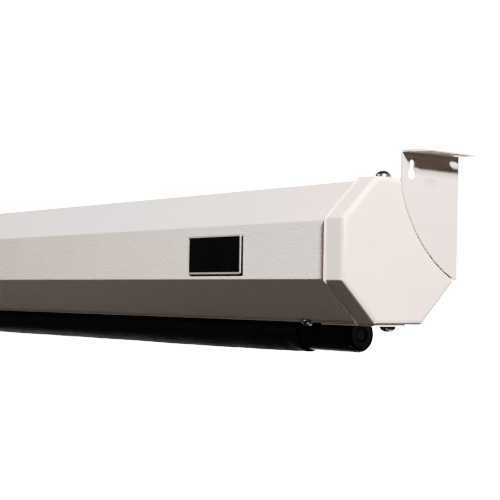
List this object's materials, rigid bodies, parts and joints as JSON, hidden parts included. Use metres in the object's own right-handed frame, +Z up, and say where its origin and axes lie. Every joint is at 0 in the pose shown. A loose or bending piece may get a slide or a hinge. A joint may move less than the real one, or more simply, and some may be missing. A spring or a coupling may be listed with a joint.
{
  "type": "motorized projector screen",
  "caption": "Octagonal white screen case with end caps, ceiling hangers, an inner roller turned by a tubular motor, and a black weight bar that the screen lowers below its slot.",
  "frame": {"origin": "midway between the two ceiling holes, level with the top of the hanger shelves", "axes": "+X along the screen to its right end, +Y to the wall, +Z up"},
  "size_m": [2.2126, 0.1204, 0.1641],
  "materials": {
    "case_white": "warm white powder coat with a fine orange peel",
    "cap_white": "warm white satin moulding",
    "hanger_white": "warm white powder coat on sheet steel",
    "plate_steel": "zinc-plated sheet steel",
    "screw_nickel": "dark nickel plate",
    "stud_zinc": "zinc plate",
    "tube_aluminium": "drawn aluminium",
    "motor_steel": "plain steel tube",
    "black_moulding": "black nylon",
    "pale_moulding": "natural acetal",
    "grey_moulding": "grey ABS",
    "limit_red": "red nylon",
    "bar_black": "gloss black coat on aluminium",
    "bar_cap_black": "gloss black moulding",
    "badge_black": "gloss black plate with a fine silver frame",
    "screen_white": "matt white screen fabric with black borders",
    "hem_black": "black coated cloth",
    "roll_fabric": "black back of the screen fabric"
  },
  "bodies": {
    "housing": {"case_shell": "case_white", "end_cap_right": "cap_white", "end_cap_left": "cap_white", "hanger_right": "hanger_white", "hanger_left": "hanger_white", "lip_support_right": "hanger_white", "lip_support_left": "hanger_white", "end_plate_right": "plate_steel", "end_plate_left": "plate_steel", "idler_plate": "plate_steel", "motor_plate": "plate_steel", "cap_screw_top_right": "screw_nickel", "cap_screw_bottom_right": "screw_nickel", "foot_screw_front_right": "screw_nickel", "foot_screw_rear_right": "screw_nickel", "hanger_stud_front_right": "stud_zinc", "hanger_stud_rear_right": "stud_zinc", "hanger_nut_front_right": "stud_zinc", "hanger_nut_rear_right": "stud_zinc", "cap_screw_top_left": "screw_nickel", "cap_screw_bottom_left": "screw_nickel", "foot_screw_front_left": "screw_nickel", "foot_screw_rear_left": "screw_nickel", "hanger_stud_front_left": "stud_zinc", "hanger_stud_rear_left": "stud_zinc", "hanger_nut_front_left": "stud_zinc", "hanger_nut_rear_left": "stud_zinc", "badge_plate": "badge_black", "control_box": "grey_moulding", "control_box_lid": "grey_moulding", "motor_head": "grey_moulding", "cable_gland": "black_moulding", "control_jack": "black_moulding", "mains_lead": "black_moulding", "motor_lead": "black_moulding", "idler_bushing": "pale_moulding", "motor_barrel": "motor_steel", "screen_fabric": "screen_white"},
    "roller": {"roller_tube": "tube_aluminium", "fabric_spline": "black_moulding", "fabric_roll": "roll_fabric", "idler_plug": "black_moulding", "idler_pin": "motor_steel", "pin_clip": "motor_steel", "motor_shaft": "motor_steel", "drive_wheel": "black_moulding", "limit_crown": "pale_moulding"},
    "weight_bar_body": {"weight_bar": "bar_black", "bar_cap_right": "bar_cap_black", "bar_cap_left": "bar_cap_black", "hem_pocket": "hem_black"},
    "limit_up": {"limit_screw_up": "pale_moulding"},
    "limit_down": {"limit_screw_down": "limit_red"}
  },
  "joints": [
    {"name": "roller_turn", "type": "hinge", "parent": "housing", "child": "roller", "pos_m": [0, -0.08035, -0.0758], "axis": [-1, 0, 0], "range_deg": [0, 2942]},
    {"name": "screen_drop", "type": "slide", "parent": "housing", "child": "weight_bar_body", "axis": [0, 0, -1], "range_m": [0, 1.284], "deforming": ["screen_fabric"]},
    {"name": "limit_up_turn", "type": "hinge", "parent": "housing", "child": "limit_up", "pos_m": [-0.9867, -0.08035, -0.0638], "axis": [1, 0, 0], "continuous": true},
    {"name": "limit_down_turn", "type": "hinge", "parent": "housing", "child": "limit_down", "pos_m": [-0.9867, -0.08035, -0.0878], "axis": [1, 0, 0], "continuous": true}
  ],
  "couplings": [
    {"joint": "screen_drop", "follows": "roller_turn", "m_per_rad": 0.025}
  ]
}
